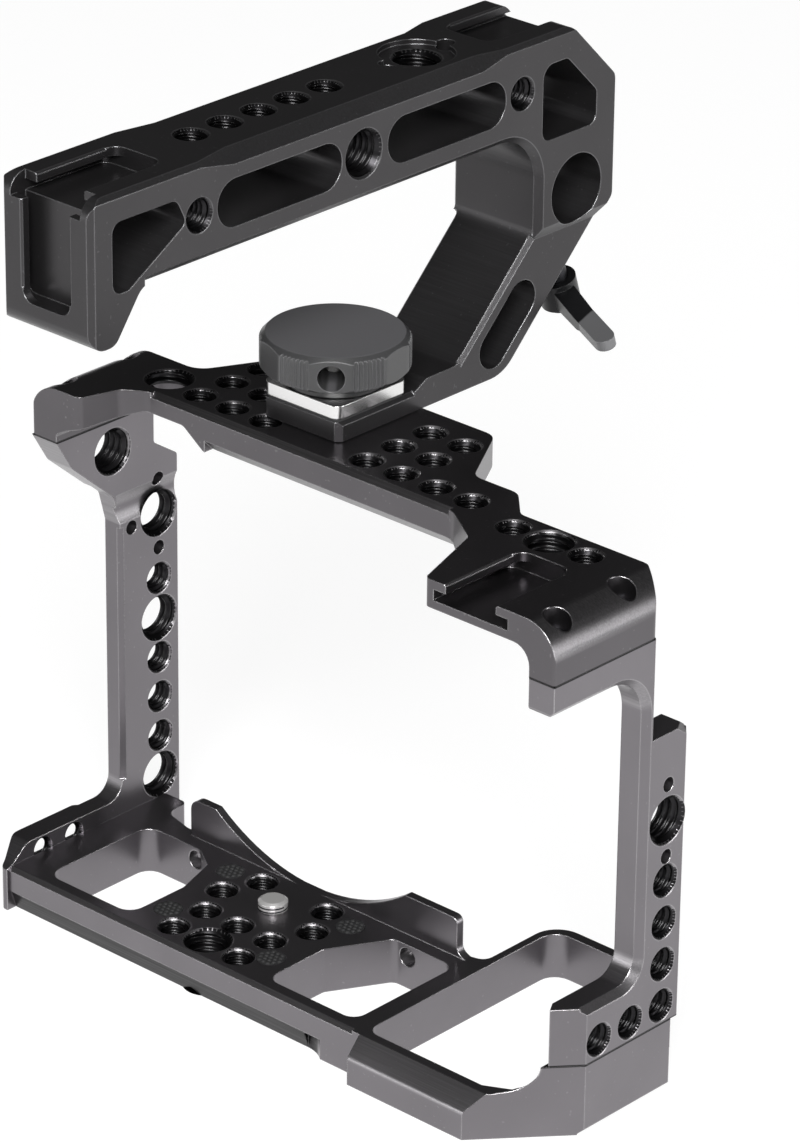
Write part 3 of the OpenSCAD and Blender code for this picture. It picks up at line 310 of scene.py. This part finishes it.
def threads(name, holes, body, material):
    """All the threads of one plate, as one piece."""
    points, faces, count = [], [], 0
    for hole in holes:
        p, f = thread(*hole)
        points.append(p)
        faces.append(f + count)
        count += len(p)
    piece(name, np.concatenate(points), np.concatenate(faces), body, material)


# The threads are far darker than the plates: painted shade inside the holes. Their crests get a painted
# highlight.
thread_shaded_black = anodised("thread_anodising_and_shade", (0.03, 0.029, 0.031), (0.09, 0.09, 0.09), 0.2, 0.0, 1.0)
left_inner, right_outer, crown = -51.55, 94.2, 103.0
bed_depth, left_depth, left_top_depth, cross_depth, right_depth, top_depth = 10, 4.4, 7.1, 1.8, 6.3, 5.9
sideways, upwards = (1, 0, 0), (0, 0, 1)

bed_front, bed_middle, bed_rear = 6.35, -10.4, -19.6
wide_x, wide_y, tripod_y = 12.8, -1.8, -19
base_holes = [((x, y, 0), upwards, quarter, bed_depth) for x in (-hole_pitch, 0, hole_pitch)
              for y in (bed_front, bed_middle, bed_rear) if x or y == bed_middle]
base_holes += [((x, wide_y, 0), upwards, quarter, bed_depth) for x in (-wide_x, wide_x)]
base_holes += [((0, tripod_y, 0), upwards, three_eighths, bed_depth)]
threads("base_threads", base_holes, "cage", thread_shaded_black)

left_y, left_z, left_large_z = 19.2, 5.1, (5.1, 41.9, 66)
left_top_y, left_top_z, cross_y, cross_z = 6.2, 84.1, (-15.5, -6.5), 0.6
left_holes = [((left_inner, left_y, left_z + i * hole_pitch), sideways, quarter, left_depth)
              for i in (1, 2, 3, 5)]
left_holes += [((left_inner, left_y, z), sideways, three_eighths, left_depth) for z in left_large_z]
left_holes += [((left_inner, left_top_y, left_top_z), sideways, three_eighths, left_top_depth)]
left_holes += [((left_inner, y, cross_z), sideways, cross, cross_depth) for y in cross_y]
threads("left_threads", left_holes, "cage", thread_shaded_black)

right_y, right_z, right_large_z = 11.1, 9.7, 50.4
right_holes = [((right_outer, right_y, right_z + i * hole_pitch), sideways, quarter, right_depth)
               for i in range(4)]
right_holes += [((right_outer, right_y - i * hole_pitch, right_z), sideways, quarter, right_depth)
                for i in (1, 2)]
right_holes += [((right_outer, right_y, right_large_z), sideways, three_eighths, right_depth)]
threads("right_threads", right_holes, "cage", thread_shaded_black)

row_y, row_x, left_field_x, left_row_x = 8.5, 17.3, -28.5, -19.3
cluster_x, cluster_y = 67.9, 5.1
large_x, large_y, large_depth = -38.8, 10, 3.5
top_holes = [((row_x + i * hole_pitch, row_y, crown), upwards, quarter, top_depth) for i in range(4)]
top_holes += [((x + i * hole_pitch, row_y + j * hole_pitch, crown), upwards, quarter, top_depth)
              for x in (row_x, left_field_x) for i in (0, 1) for j in (1, 2)]
top_holes += [((left_row_x + i * hole_pitch, row_y, crown), upwards, quarter, top_depth) for i in (-1, 0, 1)]
top_holes += [((cluster_x + i * hole_pitch, cluster_y, crown), upwards, quarter, top_depth) for i in (-1, 1)]
top_holes += [((cluster_x, cluster_y, crown), upwards, three_eighths, top_depth)]
top_holes += [((large_x, large_y, crown), upwards, three_eighths, large_depth)]
threads("top_threads", top_holes, "cage", thread_shaded_black)


# Eight socket head screws of blackened steel join the plates at their corners.
# They sit in counterbores and are turned from the outside.
turned_scales, steel_edge, turned_height = (400, 400, 9000), 0.25 * MM, 0.02 * MM


def steel(name, colour, roughness, brushing, metallic=1.0):
    """Steel with fine turned lines and a little cloudiness."""
    f = Finish(name)
    place = f.node("ShaderNodeTexCoord")[3]
    lines = f.noise(f.stretched(place, turned_scales), 1.0, 2.0)
    cloud = f.noise(place, 160, 3.0)
    tone = f.mix(cloud, [c * 0.9 for c in colour], colour)
    rounded = f.node("ShaderNodeBevel", {"samples": 6}, {"Radius": steel_edge})[0]
    bumped = f.node("ShaderNodeBump", {}, {"Strength": brushing, "Distance": turned_height, "Height": lines,
                                           "Normal": rounded})[0]
    return f.surface(Base_Color=tone, Roughness=roughness + cloud * 0.08 + lines * 0.06, Normal=bumped,
                     Metallic=metallic)


black_oxide = steel("black_oxide", (0.05, 0.05, 0.055), 0.35, 0.2)
for plate in ("top", "base"):
    for side in ("right", "left"):
        for end in ("rear", "front"):
            skin(f"screw_{plate}_{side}_{end}", "cage", black_oxide)


# Four rubber discs are glued into pockets of the bed, so that the camera neither
# slips nor gets scratched. Their tops are moulded with small round bumps.
def rubber(name, colour):
    """Matt black rubber with a dusty, slightly uneven surface."""
    f = Finish(name)
    place = f.node("ShaderNodeTexCoord")[3]
    dust = f.noise(place, 1800, 3.0)
    tone = f.mix(dust, colour, [c * 1.4 for c in colour])
    bumped = f.node("ShaderNodeBump", {}, {"Strength": 0.3, "Distance": 0.03 * MM, "Height": dust})[0]
    return f.surface(Base_Color=tone, Roughness=0.55 + dust * 0.25, Normal=bumped)


disc_inset, disc_height = 0.02, 0.12
bump_height, bump_spacing, bump_radius = 0.35, 0.4, 0.47


def bumpy_disc(centre, radius, height, rings=34, sides=72):
    """Height over a disc is its own height and the highest of nineteen round bumps in
    a hexagonal net, each a half ellipsoid. A last ring closes the rim downwards."""
    step = radius * bump_spacing
    q, r = np.meshgrid(np.arange(-2, 3), np.arange(-2, 3))
    keep = np.abs(q + r) <= 2
    bumps = np.stack([step * (q + r / 2)[keep], step * (r * math.sqrt(3) / 2)[keep]], 1)
    rho = np.linspace(0, 1, rings)[:, None] * radius
    angle = np.linspace(0, 2 * math.pi, sides + 1)[None, :]
    x, y = rho * np.cos(angle), rho * np.sin(angle)
    away = np.hypot(x[..., None] - bumps[:, 0], y[..., None] - bumps[:, 1]).min(-1)
    z = height + bump_height * np.sqrt(np.clip(1 - (away / (step * bump_radius)) ** 2, 0, None))
    x, y = np.concatenate([x, x[-1:]]), np.concatenate([y, y[-1:]])
    z = np.concatenate([z, z[-1:] * 0 - height])
    points = np.stack([x, y, z], -1).reshape(-1, 3) + np.array(centre)
    return points, grid_faces(rings + 1, sides + 1)


black_rubber = rubber("black_rubber", (0.012, 0.012, 0.0125))
for node in ("pad_left_rear", "pad_left_front", "pad_right_rear", "pad_right_front"):
    low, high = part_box(node)
    middle = (low + high) / 2 / MM
    radius = (high.x - low.x) / 2 / MM - disc_inset
    points, faces = bumpy_disc((middle.x, middle.y, 0), radius, disc_height)
    disc = piece(node + ".disc", points, faces, "cage", black_rubber)
    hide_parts(node)


# The camera screw is turned from stainless steel. Its end stands up through the bed,
# and its wide slotted head hangs in a recess under the base plate, with a nylon washer
# on it. Two turns of a thin dark line on its end are painted shade in its thread's groove.
stainless = steel("polished_stainless", (0.86, 0.855, 0.85), 0.16, 0.25)
screw_steel = steel("brushed_stainless", (0.72, 0.71, 0.7), 0.24, 0.3, 0.6)
skin("camera_screw", "camera_screw", screw_steel)

# The painted shade line's section is a low ridge on the screw, carried round by an angle and up
# by one pitch a turn, held between the thread's two ends.
screw_r, screw_pitch, screw_low, screw_high = 3.1, 0.75, -0.8, 1.6
line_turns, line_start = 2, 0.35 - 0.9 * screw_pitch
line_out, line_up = np.array([-0.01, 0.025, 0.025, -0.01]), np.array([-0.17, -0.14, 0.14, 0.17])
line_angle = np.linspace(0, 2 * math.pi * line_turns, 97)[:, None]
line_r = screw_r + line_out + 0 * line_angle
line_z = np.clip(line_angle / (2 * math.pi) * screw_pitch + line_start + line_up, screw_low, screw_high)
line = np.stack([line_r * np.cos(line_angle), line_r * np.sin(line_angle), line_z], -1)
# This dark line is painted shade in the thread's groove, in the screws' blackened steel.
piece("camera_screw_thread", line.reshape(-1, 3), grid_faces(*line_z.shape), "camera_screw", black_oxide)


def dress(node, material):
    """A CAD node keeps its own mesh and gets one material."""
    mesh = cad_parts[node].data
    mesh.materials.clear()
    mesh.materials.append(material)


nylon = rubber("black_nylon", (0.02, 0.02, 0.021))
dress("camera_screw_washer", nylon)


# The handle is one milled block, blasted like the cage and dyed deeper. Its sides are
# drilled, slotted and tapped, and its top and rear end carry shoes.
handle_black = anodised("handle_anodising", (0.052, 0.05, 0.052), (0.32, 0.32, 0.33), 1.0, 0.12, 0.8)
skin("handle_body", "handle", handle_black)
handle_x, handle_side, handle_top, side_row = -2.2, 9.8, 173.65, 163.25
side_small_y, side_large_y, side_depth = (-30.2, 61.0), 14.9, 24
top_row_y, locating_y, locating_sunk, shallow = 16.5, 42.8, 1.1, 7
handle_holes = [((handle_side, y, side_row), sideways, quarter, side_depth) for y in side_small_y]
handle_holes += [((handle_side, side_large_y, side_row), sideways, three_eighths, side_depth)]
handle_holes += [((handle_x, top_row_y - i * hole_pitch, handle_top), upwards, quarter, shallow)
                 for i in range(5)]
handle_holes += [((handle_x, locating_y, handle_top - locating_sunk), upwards, three_eighths, shallow)]
threads("handle_threads", handle_holes, "handle", thread_shaded_black)


# A polished square washer on a nylon gasket spreads the clamp knob's load over the
# handle's foot. The knob is turned and has six flats, with cut grips between them.
dress("clamp_gasket", nylon)
skin("clamp_washer", "clamp_slide", stainless)
# The knob's faces that look up or down are painted a lighter grey as a painted highlight.
knob_black = anodised("knob_anodising", (0.04, 0.04, 0.041), (0.16, 0.16, 0.165), 0.8, 0.0, 0.0,
                      top=(0.105, 0.104, 0.109))
skin("clamp_knob", "clamp_knob", knob_black, 16)
skin("clamp_stud", "clamp_knob", stainless)


# The rod clamp is a short screw with a steel tip and an indexing lever of painted zinc: a black
# hub and neck with a flat end for the finger, whose grey is a painted highlight for the lit end.
highlight_from, highlight_crisp = 0.62, 2500
paint_edge, paint_height = 0.3 * MM, 0.02 * MM


def lever_paint(name, black, grey, along, start):
    """Black paint that changes to a grey painted highlight at a place along the lever's arm."""
    f = Finish(name)
    place = f.node("ShaderNodeTexCoord")[3]
    reach = f.node("ShaderNodeVectorMath", {"operation": "DOT_PRODUCT"}, {0: place, 1: along})[1]
    share = ((reach - start) * highlight_crisp).clamp()
    mottle = f.noise(place, 900, 2.0)
    rounded = f.node("ShaderNodeBevel", {"samples": 6}, {"Radius": paint_edge})[0]
    bumped = f.node("ShaderNodeBump", {}, {"Strength": 0.15, "Distance": paint_height, "Height": mottle,
                                           "Normal": rounded})[0]
    return f.surface(Base_Color=f.mix(share, black, grey), Roughness=0.3 + mottle * 0.1, Normal=bumped,
                     Metallic=0.4)


arm_low, arm_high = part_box("lever_arm")
# The grey of the flat end is a painted highlight.
lever_black_and_highlight = lever_paint("lever_paint", (0.012, 0.012, 0.013), (0.17, 0.17, 0.175), (1, 0, 0),
                           arm_low.x + (arm_high.x - arm_low.x) * highlight_from)
skin("lever_arm", "lever_arm", lever_black_and_highlight)
skin("lever_tip", "rod_pad", stainless)
skin("lever_stud", "lever_screw", black_oxide)


# The studio: a pale floor that shows as plain white, also in the metal, a high soft
# lamp on the camera's side, two weaker ones to its right and left, and a dim sky.
floor_z, floor_half = cad_box[0][2], 3.0
floor_corners = [(x * floor_half, y * floor_half, floor_z) for x, y in ((-1, -1), (1, -1), (1, 1), (-1, 1))]
floor_mesh = bpy.data.meshes.new("floor")
floor_mesh.from_pydata(floor_corners, [], [(0, 1, 2, 3)])
floor = bpy.data.objects.new("floor", floor_mesh)
bpy.context.scene.collection.objects.link(floor)

# Seen by the camera, in gloss and through glass, the paper glows for the most part.
paper_grey, paper_glow, glow_share, sky_glow = 0.86, 1.15, 0.75, 0.045
paper = Finish("paper")
seen = paper.node("ShaderNodeLightPath")
matt = paper.node("ShaderNodeBsdfDiffuse", {}, {"Color": (paper_grey, paper_grey, paper_grey, 1)})[0]
glow = paper.node("ShaderNodeEmission", {}, {"Color": (1, 1, 1, 1), "Strength": paper_glow})[0]
shown = (seen[0] + seen[3] + seen[6]).clamp() * glow_share
lit = paper.node("ShaderNodeMixShader", {}, {0: shown, 1: matt, 2: glow})[0]
paper.node("ShaderNodeOutputMaterial", {}, {"Surface": lit})
floor_mesh.materials.append(paper.material)

world = bpy.data.worlds.new("studio")
world.use_nodes = True
bpy.context.scene.world = world
sky = world.node_tree.nodes["Background"]
sky.inputs["Color"].default_value = (1, 1, 1, 1)
sky.inputs["Strength"].default_value = sky_glow


def soft_lamp(name, place, target, size, power):
    """A square soft box that points at a target."""
    data = bpy.data.lights.new(name, "AREA")
    data.shape, data.size, data.energy = "SQUARE", size, power
    lamp = bpy.data.objects.new(name, data)
    lamp.location = place
    lamp.rotation_euler = (Vector(target) - Vector(place)).to_track_quat("-Z", "Y").to_euler()
    bpy.context.scene.collection.objects.link(lamp)


lamp_aim = (0.02, 0, 0.07)
soft_lamp("high_lamp", (0.9, -1.0, 1.2), lamp_aim, 0.9, 42)
soft_lamp("grip_side_lamp", (1.5, 0.6, 0.2), lamp_aim, 0.8, 16)
soft_lamp("rear_lamp", (-0.6, -1.6, 0.25), lamp_aim, 0.8, 8)
